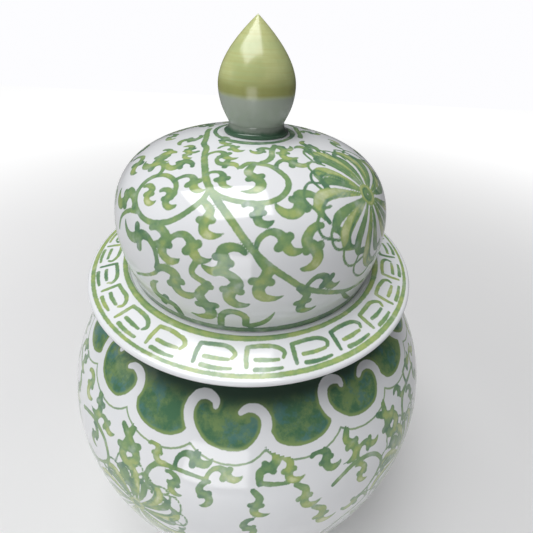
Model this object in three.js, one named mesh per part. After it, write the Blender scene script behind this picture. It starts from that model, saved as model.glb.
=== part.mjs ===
// Ginger jar with a wide-brimmed, domed lid: painted porcelain, thrown in sections that are
// luted together with slip before firing. Fired, it is two loose things: the jar and its lid.
// Millimetres, +Z up, origin at the centre of the foot's resting face.

import * as THREE from 'three';

// ---- Jar: driving dimensions -----------------------------------------------------------

const BODY_RADIUS = 168.5;          // outside, at the belly
const BELLY_HEIGHT = 202;           // where the body is widest, and where its two sections meet
const SHOULDER_RISE = 126;          // top of the shoulder, under the neck, above the belly
const SHOULDER_ROUNDNESS = 2.48;    // power of the shoulder's superellipse; 2 is a plain ellipse
const TAPER_POWER = 2.2;            // how late the lower body turns in towards the foot
const BODY_WALL = 6.5;              // thickness of the body's wall
const BASE_THICKNESS = 9;           // floor inside the foot ring
const MOUTH_THICKNESS = 5;          // shoulder's edge at the mouth

const NECK_RADIUS = 92;             // outside of the neck
const NECK_HEIGHT = 19.5;           // its bare rim, which the lid rests on, above the shoulder
const NECK_WALL = 7;
const NECK_EDGE = 1.5;              // rounding of the rim

const FOOT_RADIUS = 95;             // outside of the foot ring
const FOOT_WIDTH = 11;              // ring's width from outside to inside
const FOOT_HEIGHT = 12;
const FOOT_CHAMFER = 2;             // bevel either side of the resting face

// ---- Lid: driving dimensions. It is made to fit the neck, and grows with it -------------

const DOME_OVERHANG = 1.7;          // foot of the dome, outside, beyond the neck's outside
const DOME_BULGE = 3;               // widest part of the dome beyond its foot
const DOME_WIDEST_RISE = 26.4;      // widest point above the foot of the dome
const DOME_CROWN_RISE = 58.5;       // crown above the widest point
const DOME_CROWN_HANDLE = 50;       // how far the crown stays nearly level
const DOME_WALL = 5;

const COVE_WIDTH = 5.7;             // hollow between the dome's foot and the brim's crest
const COVE_FLAT = 2.3;              // the part of that hollow that is level with the dome's foot
const BRIM_REACH = 25.6;            // the sloping top, from its crest out to the lip's edge
const BRIM_CREST_RISE = 8;          // crest above the brim's flat underside
const BRIM_SEAT_RISE = 6.2;         // the flat that the dome stands on, above the underside
const LIP_THICKNESS = 4.4;          // the rounded edge of the brim

const RIM_DEPTH = 16;               // locating rim below the brim
const RIM_WALL = 5;
const RIM_CLEARANCE = 2.5;          // all round, between the locating rim and the neck

const COLLAR_OVERHANG = 1.6;        // small ring under the knob, beyond the knob's waist
const COLLAR_HEIGHT = 4.6;
const COLLAR_BEAD = 1.4;            // rounding of the ring's edges

const KNOB_WAIST = 18;              // radius where the knob leaves its collar
const KNOB_RADIUS = 23.2;           // radius at its widest
const KNOB_WIDEST_RISE = 22.7;      // widest point above the collar
const KNOB_TIP_RISE = 33;           // tip above the widest point
const KNOB_OFF_AXIS = 1.5;          // the knob was stuck on by hand, a little to one side

// ---- Shared by every section -----------------------------------------------------------

const LUTING_GAP = 0.3;             // between two sections that are luted, and under a resting lid
const ROUND_SIDES = 48;             // sides of a full turn on the big sections
const KNOB_SIDES = 32;              // sides of a full turn on the knob and its collar

const shoulderTop = BELLY_HEIGHT + SHOULDER_RISE;
const neckTop = shoulderTop + NECK_HEIGHT;
const neckInnerRadius = NECK_RADIUS - NECK_WALL;

const brimUnderside = neckTop + LUTING_GAP;
const domeFoot = brimUnderside + BRIM_SEAT_RISE + LUTING_GAP;
const domeWidest = domeFoot + DOME_WIDEST_RISE;
const domeCrown = domeWidest + DOME_CROWN_RISE;
const collarFoot = domeCrown + LUTING_GAP;
const knobFoot = collarFoot + COLLAR_HEIGHT + LUTING_GAP;
const domeFootRadius = NECK_RADIUS + DOME_OVERHANG;
const domeRadius = domeFootRadius + DOME_BULGE;
const crestRadius = domeFootRadius + COVE_WIDTH;
const brimRadius = crestRadius + BRIM_REACH;
const rimOuterRadius = neckInnerRadius - RIM_CLEARANCE;
const rimInnerRadius = rimOuterRadius - RIM_WALL;
const collarRadius = KNOB_WAIST + COLLAR_OVERHANG;

const bareClay = { color: 0xe6ddcc, roughness: 0.85, metalness: 0 };
const whiteGlaze = { color: 0xe8eaee, roughness: 0.12, metalness: 0 };
const paintedGlaze = { color: 0xb4c4a0, roughness: 0.12, metalness: 0 };
const shoulderGlaze = { color: 0x7d9a6c, roughness: 0.12, metalness: 0 };
const knobGlaze = { color: 0xb6d07a, roughness: 0.1, metalness: 0 };

const point = (radius, height) => new THREE.Vector2(radius, height);

// Points along a cubic curve, both ends included.
function curvePoints(from, handleA, handleB, to, steps) {
  return new THREE.CubicBezierCurve(from, handleA, handleB, to).getPoints(steps);
}

// The same outline moved to the inside by the wall's thickness, square to the surface.
function insideOf(outline, wall) {
  return outline.map((here, index) => {
    const before = outline[Math.max(index - 1, 0)];
    const after = outline[Math.min(index + 1, outline.length - 1)];
    const along = new THREE.Vector2().subVectors(after, before).normalize();
    return point(here.x - along.y * wall, here.y + along.x * wall);
  });
}

// A named section turned about the vertical axis. The outline runs up the outside and
// comes back down the inside, so that the faces point out.
function turnedSection(name, outline, finish, sides = ROUND_SIDES) {
  const geometry = new THREE.LatheGeometry(outline, sides);
  geometry.rotateX(Math.PI / 2);
  const section = new THREE.Mesh(geometry, new THREE.MeshStandardMaterial(finish));
  section.name = name;
  return section;
}

// ---- Jar -------------------------------------------------------------------------------

// A square ring luted under the base and bevelled either side of its resting face.
function makeFootRing() {
  const inner = FOOT_RADIUS - FOOT_WIDTH;
  const outline = [
    point(inner + FOOT_CHAMFER, 0),
    point(FOOT_RADIUS - FOOT_CHAMFER, 0),
    point(FOOT_RADIUS, FOOT_CHAMFER),
    point(FOOT_RADIUS, FOOT_HEIGHT),
    point(inner, FOOT_HEIGHT),
    point(inner, FOOT_CHAMFER),
    point(inner + FOOT_CHAMFER, 0),
  ];
  return turnedSection('foot_ring', outline, bareClay);
}

// The bowl from the base up to the belly. Its radius falls from the belly to the foot as
// one minus a power of the depth, which starts upright and ends as a nearly straight taper.
function makeLowerSection() {
  const baseHeight = FOOT_HEIGHT + LUTING_GAP;
  const floorHeight = baseHeight + BASE_THICKNESS;
  const depth = BELLY_HEIGHT - baseHeight;
  const steps = 9;
  const outside = [];
  for (let step = 0; step <= steps; step += 1) {
    const share = 1 - step / steps;
    const radius = FOOT_RADIUS + (BODY_RADIUS - FOOT_RADIUS) * (1 - share ** TAPER_POWER);
    outside.push(point(radius, BELLY_HEIGHT - share * depth));
  }
  const inside = insideOf(outside, BODY_WALL).filter((spot) => spot.y > floorHeight);
  inside[inside.length - 1].y = BELLY_HEIGHT;
  const floorEdge = point(inside[0].x - BODY_WALL, floorHeight);
  const outline = [
    point(0, baseHeight),
    ...outside,
    ...inside.reverse(),
    floorEdge,
    point(0, floorHeight),
  ];
  return turnedSection('lower_body', outline, paintedGlaze);
}

// The shoulder from the belly to the mouth, a superellipse that reaches the neck's radius
// at the shoulder's top.
function makeUpperSection() {
  const neckShare = NECK_RADIUS / BODY_RADIUS;
  const turn = (share) => (1 - share ** SHOULDER_ROUNDNESS) ** (1 / SHOULDER_ROUNDNESS);
  const reach = SHOULDER_RISE / turn(neckShare);
  const steps = 10;
  const endAngle = Math.asin(turn(neckShare));
  const outside = [];
  for (let step = 0; step <= steps; step += 1) {
    const share = Math.sin((endAngle * step) / steps);
    outside.push(point(BODY_RADIUS * turn(share), BELLY_HEIGHT + reach * share));
  }
  outside[0].y += LUTING_GAP;
  const inside = insideOf(outside, BODY_WALL);
  inside[0].y = outside[0].y;
  const outline = [
    ...outside,
    point(neckInnerRadius, shoulderTop),
    point(neckInnerRadius, shoulderTop - MOUTH_THICKNESS),
    ...inside.reverse(),
    outside[0].clone(),
  ];
  return turnedSection('shoulder', outline, shoulderGlaze);
}

// A plain upright ring whose rounded rim carries the lid.
function makeNeck() {
  const foot = shoulderTop + LUTING_GAP;
  const outline = [
    point(neckInnerRadius, foot),
    point(NECK_RADIUS, foot),
    point(NECK_RADIUS, neckTop - NECK_EDGE),
    point(NECK_RADIUS - NECK_EDGE, neckTop),
    point(neckInnerRadius + NECK_EDGE, neckTop),
    point(neckInnerRadius, neckTop - NECK_EDGE),
    point(neckInnerRadius, foot),
  ];
  return turnedSection('neck', outline, whiteGlaze);
}

// ---- Lid -------------------------------------------------------------------------------

// A short ring under the brim. It drops inside the neck and keeps the lid central.
function makeLocatingRim() {
  const top = brimUnderside - LUTING_GAP;
  const outline = [
    point(rimInnerRadius, top - RIM_DEPTH),
    point(rimOuterRadius - NECK_EDGE, top - RIM_DEPTH),
    point(rimOuterRadius, top - RIM_DEPTH + NECK_EDGE),
    point(rimOuterRadius, top),
    point(rimInnerRadius, top),
    point(rimInnerRadius, top - RIM_DEPTH),
  ];
  return turnedSection('locating_rim', outline, bareClay);
}

// A flat-bottomed ring with a half-round lip, a top that slopes up to a crest and a small
// cove where the dome stands.
function makeBrim() {
  const lipRadius = LIP_THICKNESS / 2;
  const lipCentre = point(brimRadius - lipRadius, brimUnderside + lipRadius);
  const lip = [];
  const lipSteps = 6;
  for (let step = 0; step <= lipSteps; step += 1) {
    const angle = Math.PI * (step / lipSteps - 0.5);
    lip.push(point(
      lipCentre.x + lipRadius * Math.cos(angle),
      lipCentre.y + lipRadius * Math.sin(angle),
    ));
  }
  const seat = brimUnderside + BRIM_SEAT_RISE;
  const outline = [
    point(rimInnerRadius, brimUnderside),
    ...lip,
    point(crestRadius, brimUnderside + BRIM_CREST_RISE),
    point(domeFootRadius + COVE_FLAT, seat),
    point(rimInnerRadius, seat),
    point(rimInnerRadius, brimUnderside),
  ];
  return turnedSection('brim', outline, paintedGlaze);
}

// A bulging cap: the wall leans out a little to its widest point, then closes over in one
// nearly square curve whose upper handle lies level with the crown.
function makeDome() {
  const foot = point(domeFootRadius, domeFoot);
  const widest = point(domeRadius, domeWidest);
  const crown = point(0, domeCrown);
  const lean = DOME_WIDEST_RISE / 2;
  const wall = curvePoints(
    foot, point(domeFootRadius, domeFoot + lean / 2), point(domeRadius, domeWidest - lean),
    widest, 3,
  );
  const cap = curvePoints(
    widest, point(domeRadius, domeCrown), point(DOME_CROWN_HANDLE, domeCrown), crown, 9,
  );
  const outside = [...wall, ...cap.slice(1)];
  const inside = insideOf(outside, DOME_WALL);
  inside[0].y = domeFoot;
  inside[inside.length - 1].x = 0;
  return turnedSection('dome', [inside[0].clone(), ...outside, ...inside.reverse()], paintedGlaze);
}

// The small rounded ring that the knob grows out of.
function makeKnobCollar() {
  const top = collarFoot + COLLAR_HEIGHT;
  const outline = [
    point(0, collarFoot),
    point(collarRadius - COLLAR_BEAD, collarFoot),
    point(collarRadius, collarFoot + COLLAR_BEAD),
    point(collarRadius, top - COLLAR_BEAD),
    point(collarRadius - COLLAR_BEAD, top),
    point(0, top),
  ];
  const collar = turnedSection('knob_collar', outline, whiteGlaze, KNOB_SIDES);
  collar.position.x = KNOB_OFF_AXIS;
  return collar;
}

// A closed bud: it swells from a narrow waist and comes in to a blunt point.
function makeKnob() {
  const widestHeight = knobFoot + KNOB_WIDEST_RISE;
  const tipHeight = widestHeight + KNOB_TIP_RISE;
  const swell = KNOB_WIDEST_RISE * 0.4;
  const close = KNOB_TIP_RISE * 0.33;
  const widest = point(KNOB_RADIUS, widestHeight);
  const below = curvePoints(
    point(KNOB_WAIST, knobFoot), point(KNOB_WAIST, knobFoot + swell),
    point(KNOB_RADIUS, widestHeight - swell), widest, 5,
  );
  const above = curvePoints(
    widest, point(KNOB_RADIUS, widestHeight + close), point(KNOB_RADIUS * 0.6, tipHeight - close),
    point(0, tipHeight), 7,
  );
  const outline = [point(0, knobFoot), ...below, ...above.slice(1)];
  const knob = turnedSection('knob', outline, knobGlaze, KNOB_SIDES);
  knob.position.x = KNOB_OFF_AXIS;
  return knob;
}

const jar = new THREE.Group();
jar.add(makeFootRing(), makeLowerSection(), makeUpperSection(), makeNeck());

const lid = new THREE.Group();
lid.add(makeLocatingRim(), makeBrim(), makeDome(), makeKnobCollar(), makeKnob());

const gingerJar = new THREE.Group();
gingerJar.add(jar, lid);

export default gingerJar;
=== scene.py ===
import math

import bpy
import numpy as np
from mathutils import Matrix, Vector


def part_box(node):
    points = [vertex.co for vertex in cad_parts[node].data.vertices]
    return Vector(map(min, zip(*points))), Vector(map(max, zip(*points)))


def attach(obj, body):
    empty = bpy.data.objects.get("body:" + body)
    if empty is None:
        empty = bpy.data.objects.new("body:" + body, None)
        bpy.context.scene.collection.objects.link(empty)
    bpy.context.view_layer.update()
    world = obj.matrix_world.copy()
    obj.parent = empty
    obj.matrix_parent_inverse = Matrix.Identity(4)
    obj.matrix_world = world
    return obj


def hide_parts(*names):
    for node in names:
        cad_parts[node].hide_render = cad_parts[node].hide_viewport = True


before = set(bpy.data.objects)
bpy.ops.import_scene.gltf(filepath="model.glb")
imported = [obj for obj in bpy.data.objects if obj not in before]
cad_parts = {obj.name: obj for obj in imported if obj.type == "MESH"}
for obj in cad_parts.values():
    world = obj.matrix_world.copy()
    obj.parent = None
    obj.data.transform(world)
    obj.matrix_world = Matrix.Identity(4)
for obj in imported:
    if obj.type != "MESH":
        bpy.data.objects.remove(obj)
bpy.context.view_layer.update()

# ---- Foot ring -------------------------------------------------------------------------
# A ring of porcelain clay luted under the base. It is left bare, so it is matte and a
# little toasted, with the glaze of the body stopping at its upper edge.

MM = 0.001
JAR = "jar"
LID = "lid"


def outline_steps(points, spacing):
    """The same open outline with points an even distance apart along it: the distance
    travelled is cut into equal shares and radius and height are read off at each."""
    points = np.asarray(points, float)
    travelled = np.r_[0, np.cumsum(np.hypot(*np.diff(points, axis=0).T))]
    steps = max(int(round(travelled[-1] / spacing)), 1)
    at = np.linspace(0, travelled[-1], steps + 1)
    return np.column_stack([np.interp(at, travelled, points[:, k]) for k in (0, 1)])


def inner_outline(outside, wall):
    """An outline moved inwards by the wall, square to itself."""
    along = np.gradient(outside, axis=0)
    along /= np.hypot(*along.T)[:, None]
    return outside + np.column_stack([-along[:, 1], along[:, 0]]) * wall


def round_about(radius, height, azimuth, off_axis=0.0):
    """Places on a surface turned about the vertical axis: the azimuth runs from the front
    (-Y) towards +X, so x is radius times its sine and y is minus radius times its cosine."""
    turn = np.radians(azimuth)
    return np.stack(np.broadcast_arrays(
        off_axis + radius * np.sin(turn), -radius * np.cos(turn), height), axis=-1)


def turned_piece(name, outline, columns, off_axis=0.0, painted=None, first_painted=0):
    """A mesh from an outline (radius, height in mm) carried round the axis in equal turns.
    It runs up the outside and down the inside. An outline that starts and ends on the axis
    closes in a pole at each end, and any other closes on itself. painted holds the
    painter's values, row by row, for the rings from first_painted on."""
    outline = np.asarray(outline, float)
    on_axis = outline[0, 0] == 0 and outline[-1, 0] == 0
    rings = outline[1:-1] if on_axis else outline
    azimuth = np.arange(columns) * 360 / columns
    places = round_about(rings[:, :1], rings[:, 1:], azimuth[None, :], off_axis)
    vertices = places.reshape(-1, 3)
    rows = len(rings)
    here = np.arange(rows * columns).reshape(rows, columns)
    if not on_axis:
        here = np.vstack([here, here[:1]])
    east = np.roll(here, -1, axis=1)
    quads = np.stack([here[:-1], east[:-1], east[1:], here[1:]], axis=-1).reshape(-1, 4)
    closed = outline if on_axis else np.vstack([outline, outline[:1]])
    lengths = np.hypot(*np.diff(closed, axis=0).T)
    if painted:
        ring = np.arange(len(lengths)) - (1 if on_axis else 0)
        last_painted = first_painted + len(next(iter(painted.values())))
        lengths[(ring < first_painted) | (ring >= last_painted - 1)] *= UNPAINTED_SHARE
    travelled = np.r_[0, np.cumsum(lengths)]
    up = travelled / travelled[-1]
    side = np.linspace(0, 1, columns + 1)
    low, high = (up[1:-2], up[2:-1]) if on_axis else (up[:-1], up[1:])
    left, right = np.meshgrid(side[:-1], low)[0], np.meshgrid(side[1:], low)[0]
    low, high = np.repeat(low[:, None], columns, 1), np.repeat(high[:, None], columns, 1)
    quad_uv = np.stack([np.stack(pair, -1) for pair in (
        (left, low), (right, low), (right, high), (left, high))], axis=2).reshape(-1, 2)
    loops, totals, uv = quads.ravel(), np.full(len(quads), 4), quad_uv
    if on_axis:
        foot, crown = len(vertices), len(vertices) + 1
        vertices = np.vstack([vertices, [off_axis, 0, outline[0, 1]],
                              [off_axis, 0, outline[-1, 1]]])
        ring = np.arange(columns)
        below = np.column_stack([np.full(columns, foot), np.roll(ring, -1), ring])
        last = (rows - 1) * columns + ring
        above = np.column_stack([last, np.roll(last, -1), np.full(columns, crown)])
        middle = (side[:-1] + side[1:]) / 2
        fan_low = np.stack([
            np.column_stack([middle, np.full(columns, up[0])]),
            np.column_stack([side[1:], np.full(columns, up[1])]),
            np.column_stack([side[:-1], np.full(columns, up[1])])], axis=1)
        fan_high = np.stack([
            np.column_stack([side[:-1], np.full(columns, up[-2])]),
            np.column_stack([side[1:], np.full(columns, up[-2])]),
            np.column_stack([middle, np.full(columns, up[-1])])], axis=1)
        loops = np.r_[loops, below.ravel(), above.ravel()]
        totals = np.r_[totals, np.full(2 * columns, 3)]
        uv = np.vstack([uv, fan_low.reshape(-1, 2), fan_high.reshape(-1, 2)])
    mesh = bpy.data.meshes.new(name)
    mesh.vertices.add(len(vertices))
    mesh.vertices.foreach_set("co", (vertices * MM).astype(np.float32).ravel())
    mesh.loops.add(len(loops))
    mesh.loops.foreach_set("vertex_index", loops.astype(np.int32))
    mesh.polygons.add(len(totals))
    starts = np.r_[0, np.cumsum(totals)[:-1]]
    mesh.polygons.foreach_set("loop_start", starts.astype(np.int32))
    mesh.polygons.foreach_set("loop_total", totals.astype(np.int32))
    mesh.update(calc_edges=True)
    layer = mesh.uv_layers.new(name="OFBake")
    layer.data.foreach_set("uv", uv.astype(np.float32).ravel())
    mesh.shade_smooth()
    mesh.set_sharp_from_angle(angle=math.radians(38))
    for label, values in (painted or {}).items():
        attribute = mesh.attributes.new(label, "FLOAT", "POINT")
        filled = np.full(len(vertices), UNPAINTED)
        filled[first_painted * columns:][:values.size] = values.ravel()
        attribute.data.foreach_set("value", filled.astype(np.float32))
    mesh.validate()
    piece = bpy.data.objects.new(name, mesh)
    bpy.context.scene.collection.objects.link(piece)
    return piece


def new_finish(name):
    """An empty node material with one Principled shader; gives the material, its node
    tree and the shader."""
    finish = bpy.data.materials.new(name)
    finish.use_nodes = True
    nodes = finish.node_tree
    return finish, nodes, nodes.nodes["Principled BSDF"]


def speckle(nodes, scale, detail=2.0, roughness=0.5):
    """Noise on object coordinates; the scale is in waves per metre."""
    where = nodes.nodes.new("ShaderNodeTexCoord")
    noise = nodes.nodes.new("ShaderNodeTexNoise")
    noise.inputs["Scale"].default_value = scale
    noise.inputs["Detail"].default_value = detail
    noise.inputs["Roughness"].default_value = roughness
    nodes.links.new(where.outputs["Object"], noise.inputs["Vector"])
    return noise.outputs["Fac"]


def colour_mix(nodes, share, first, second):
    """Mixes two colours, each a socket or a plain colour, by a share socket."""
    mix = nodes.nodes.new("ShaderNodeMix")
    mix.data_type = "RGBA"
    nodes.links.new(share, mix.inputs["Factor"])
    for colour, label in ((first, "A"), (second, "B")):
        socket = [s for s in mix.inputs if s.name == label and s.type == "RGBA"][0]
        if isinstance(colour, tuple):
            socket.default_value = (*colour, 1)
        else:
            nodes.links.new(colour, socket)
    return [s for s in mix.outputs if s.type == "RGBA"][0]


def ramp_between(nodes, value, low, high, to_low=0.0, to_high=1.0):
    """A smooth step: to_low below low, to_high above high."""
    step = nodes.nodes.new("ShaderNodeMapRange")
    step.interpolation_type = "SMOOTHSTEP"
    step.inputs["From Min"].default_value = low
    step.inputs["From Max"].default_value = high
    step.inputs["To Min"].default_value = to_low
    step.inputs["To Max"].default_value = to_high
    nodes.links.new(value, step.inputs["Value"])
    return step.outputs["Result"]


def arithmetic(nodes, operation, first, second):
    """One sum on two values, each a socket or a plain number."""
    sum_node = nodes.nodes.new("ShaderNodeMath")
    sum_node.operation = operation
    for value, socket in ((first, sum_node.inputs[0]), (second, sum_node.inputs[1])):
        if isinstance(value, (int, float)):
            socket.default_value = value
        else:
            nodes.links.new(value, socket)
    return sum_node.outputs[0]


UNPAINTED = 9.0        # distance to the nearest paint, in mm, where there is none
UNPAINTED_SHARE = 0.1  # how much room plain rings get on the bake map for their length
FOOT_WIDTH = 11
FOOT_EDGE = 2

foot_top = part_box("foot_ring")[1].z / MM
foot_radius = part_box("foot_ring")[1].x / MM
foot_inner = foot_radius - FOOT_WIDTH
corner = np.radians(np.linspace(-90, 0, 6))
outer_corner = np.column_stack([foot_radius - FOOT_EDGE + FOOT_EDGE * np.cos(corner),
                                FOOT_EDGE + FOOT_EDGE * np.sin(corner)])
inner_corner = np.column_stack([foot_inner + FOOT_EDGE - FOOT_EDGE * np.cos(corner),
                                FOOT_EDGE + FOOT_EDGE * np.sin(corner)])[::-1]
foot_ring = turned_piece("bare_foot_ring", [
    *outer_corner, (foot_radius, foot_top), (foot_inner, foot_top), *inner_corner], 192)

bare_clay, nodes, shader = new_finish("bare porcelain clay")
toast = ramp_between(nodes, speckle(nodes, 60, 4), 0.35, 0.7)
body_colour = colour_mix(nodes, toast, (0.72, 0.66, 0.55), (0.62, 0.5, 0.36))
grit = ramp_between(nodes, speckle(nodes, 1400, 2), 0.62, 0.72)
nodes.links.new(colour_mix(nodes, grit, body_colour, (0.4, 0.31, 0.22)),
                shader.inputs["Base Color"])
shader.inputs["Roughness"].default_value = 0.8
bump = nodes.nodes.new("ShaderNodeBump")
bump.inputs["Strength"].default_value = 0.4
bump.inputs["Distance"].default_value = 0.0003
nodes.links.new(speckle(nodes, 1800, 3), bump.inputs["Height"])
nodes.links.new(bump.outputs["Normal"], shader.inputs["Normal"])
foot_ring.data.materials.append(bare_clay)
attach(foot_ring, JAR)
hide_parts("foot_ring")

# ---- Body: lower section and shoulder --------------------------------------------------
# Two thrown bowls luted together at the belly, glazed inside and out. The green brushwork
# is painted on the raw clay and shows through a clear gloss glaze: each stroke is darker
# where the pigment pooled at its edge, and thin and yellowish in the middle.

BODY_WALL = 6.5
TAPER_POWER = 2.2
SHOULDER_ROUNDNESS = 2.48
BASE_THICKNESS = 9

belly_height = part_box("shoulder")[0].z / MM
body_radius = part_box("shoulder")[1].x / MM
neck_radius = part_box("neck")[1].x / MM
shoulder_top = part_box("shoulder")[1].z / MM


def new_skin(outside, columns, zero_height=None):
    """What the painter works on: the outer surface as a grid of azimuth by rise. The rise
    is the distance along the outline in mm, counted from zero_height or from its foot.
    line and ground are distances in mm to brush lines and to solid fills, below zero where
    painted; tone is how yellow the line is, and on the solid fill, below zero, how deep the
    painted shade under the brim is."""
    travelled = np.r_[0, np.cumsum(np.hypot(*np.diff(outside, axis=0).T))]
    if zero_height is not None:
        travelled -= np.interp(zero_height, outside[:, 1], travelled)
    azimuth = np.arange(columns) * 360 / columns
    shape = (len(outside), columns)
    return {
        "azimuth": azimuth, "rise": travelled, "radius": outside[:, 0],
        "place": round_about(outside[:, :1], outside[:, 1:], azimuth[None, :]),
        "height": outside[:, 1],
        "line": np.full(shape, UNPAINTED), "tone": np.full(shape, 0.5),
        "ground": np.full(shape, UNPAINTED),
    }


def flowing(points, step=0.6):
    """A smooth path through every point (Catmull-Rom: each span is a cubic whose ends lie
    along its neighbours' chord), with places about step mm apart."""
    points = np.asarray(points, float)
    ends = np.vstack([2 * points[0] - points[1], points, 2 * points[-1] - points[-2]])
    spans = []
    for a, b, c, d in zip(ends, ends[1:], ends[2:], ends[3:]):
        count = max(int(np.hypot(*(c - b)[:2] * (1.6, 1)) / step), 2)
        t = np.linspace(0, 1, count, endpoint=False)[:, None]
        spans.append(0.5 * (2 * b + (c - a) * t + (2 * a - 5 * b + 4 * c - d) * t ** 2
                            + (3 * b - a - 3 * c + d) * t ** 3))
    return np.vstack([*spans, points[-1:]])


def spread_along(values, count):
    """A short list of values, or one value, stretched evenly over count points."""
    values = np.atleast_1d(np.asarray(values, float))
    return np.interp(np.linspace(0, 1, count), np.linspace(0, 1, len(values)), values)


STROKE_RUN = 16                    # points of a stroke's path worked out at a time
PAST_EDGE = {"line": 1.5, "white": 4}  # how far past its edge a stroke is felt, in mm
NARROWEST_TURN = 8                 # the least radius that a stroke's window allows for
TONE_FADE = 0.9                    # width over which one stroke's tone gives way to another


def brush(skin, path, width, tone=0.5, layer="line"):
    """One brush stroke along a path of (azimuth, rise). The distance to it, at every place
    near it, is the distance to the nearest point of the path less half the width there. It
    is worked out a short run of the path at a time, each on its own window of the skin."""
    path = np.asarray(path, float)
    control = np.column_stack([path, spread_along(width, len(path)),
                               spread_along(tone, len(path))])
    azimuth, rise, wide, tones = flowing(control).T
    half = np.maximum(wide, 0.1) / 2
    radius = np.interp(rise, skin["rise"], skin["radius"])
    spots = round_about(radius, np.interp(rise, skin["rise"], skin["height"]), azimuth)
    reach = half.max() + PAST_EDGE[layer]
    for first in range(0, len(spots), STROKE_RUN):
        run = slice(first, first + STROKE_RUN + 1)
        rows = np.flatnonzero((skin["rise"] > rise[run].min() - reach)
                              & (skin["rise"] < rise[run].max() + reach))
        margin = np.degrees(reach / max(radius[run].min(), NARROWEST_TURN))
        middle = (azimuth[run].min() + azimuth[run].max()) / 2
        apart = np.abs((skin["azimuth"] - middle + 180) % 360 - 180)
        columns = np.flatnonzero(apart < np.ptp(azimuth[run]) / 2 + margin)
        if not len(rows) or not len(columns):
            continue
        window = np.ix_(rows, columns)
        gap = skin["place"][window][:, :, None, :] - spots[run]
        away = np.sqrt(np.einsum("ijkl,ijkl->ijk", gap, gap)) - half[run]
        nearest = away.min(axis=2)
        skin[layer][window] = np.minimum(skin[layer][window], nearest)
        if layer == "line":
            fresh = np.clip(0.5 - nearest / TONE_FADE, 0, 1)
            laid = tones[run][away.argmin(axis=2)]
            skin["tone"][window] += (laid - skin["tone"][window]) * fresh


def hoop(skin, rise, width, tone=0.5):
    """A line right round the piece, its width wavering a little as the wheel turned."""
    waver = 0.12 * width * np.sin(np.radians(skin["azimuth"] * 3 + rise * 40))
    away = np.abs(skin["rise"][:, None] - rise) - width / 2 + waver[None, :]
    over = away < skin["line"]
    skin["line"] = np.where(over, away, skin["line"])
    skin["tone"] = np.where(over, tone, skin["tone"])


def between(skin, root, tip, shape, side=1):
    """Carries a little drawing onto the skin. In the drawing, root is (0, 0) and tip is
    (1, 0); side flips it over. Azimuths are stretched to true length by the radius."""
    root, tip = np.asarray(root, float), np.asarray(tip, float)
    middle = np.interp((root[1] + tip[1]) / 2, skin["rise"], skin["radius"])
    per_degree = math.pi * middle / 180
    along = (tip - root) * (per_degree, 1)
    across = np.array([-along[1], along[0]]) * side
    shape = np.asarray(shape, float)
    moved = shape[:, :1] * along + shape[:, 1:2] * across
    return root + moved / (per_degree, 1)


def length_between(skin, root, tip):
    """True distance from root to tip, in mm."""
    middle = np.interp((root[1] + tip[1]) / 2, skin["rise"], skin["radius"])
    return math.hypot((tip[0] - root[0]) * math.pi * middle / 180, tip[1] - root[1])


LEAF_SHAPES = {
    "hooked": (
        [(0, 0), (0.08, 0.12), (0.26, 0.2), (0.47, 0.17), (0.49, -0.06), (0.62, -0.23),
         (0.82, -0.23), (0.97, -0.1), (1, 0)],
        [0.13, 0.16, 0.2, 0.24, 0.27, 0.24, 0.2, 0.11, 0.02],
        [(0.47, -0.02), (0.37, -0.15)], [(0.5, 0.02), (0.64, 0.08)]),
    "arched": (
        [(0, 0), (0.03, 0.13), (0.17, 0.27), (0.34, 0.31), (0.49, 0.24), (0.55, 0.12),
         (0.62, 0.01), (0.75, -0.07), (0.9, -0.05), (1, 0.02)],
        [0.1, 0.11, 0.12, 0.15, 0.2, 0.22, 0.22, 0.18, 0.1, 0.02],
        [(0.51, 0.14), (0.43, 0)], [(0.57, 0.12), (0.67, 0.24)]),
    "drooping": (
        [(0, 0), (0.17, 0.03), (0.34, 0.03), (0.47, -0.15), (0.57, -0.3), (0.7, -0.36),
         (0.83, -0.32), (0.95, -0.18), (1, 0)],
        [0.15, 0.19, 0.21, 0.23, 0.24, 0.24, 0.2, 0.12, 0.02],
        [(0.47, -0.16), (0.38, -0.32)], [(0.49, -0.15), (0.58, -0.05)]),
}
LONGEST_LEAF = 27
LEAF_TONES = [0.2, 0.35, 0.45, 0.35, 0.2, 0.6, 0.75, 0.5, 0.0]


def scroll_leaf(skin, kind, root, tip, side=1, yellow=0.0):
    """A curled leaf: a stalk with a round lobe on each side of its shoulder, then a fat
    crescent that hooks back up to a dark point."""
    spine, widths, *lobes = LEAF_SHAPES[kind]
    size = min(length_between(skin, root, tip), LONGEST_LEAF) ** 0.8 * LONGEST_LEAF ** 0.2
    tones = np.clip(np.array(LEAF_TONES) + yellow, 0, 1)
    brush(skin, between(skin, root, tip, spine, side), np.array(widths) * size, tones)
    for lobe in lobes:
        brush(skin, between(skin, root, tip, lobe, side), np.array([0.15, 0.17]) * size,
              [tones[2], tones[0]])


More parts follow.
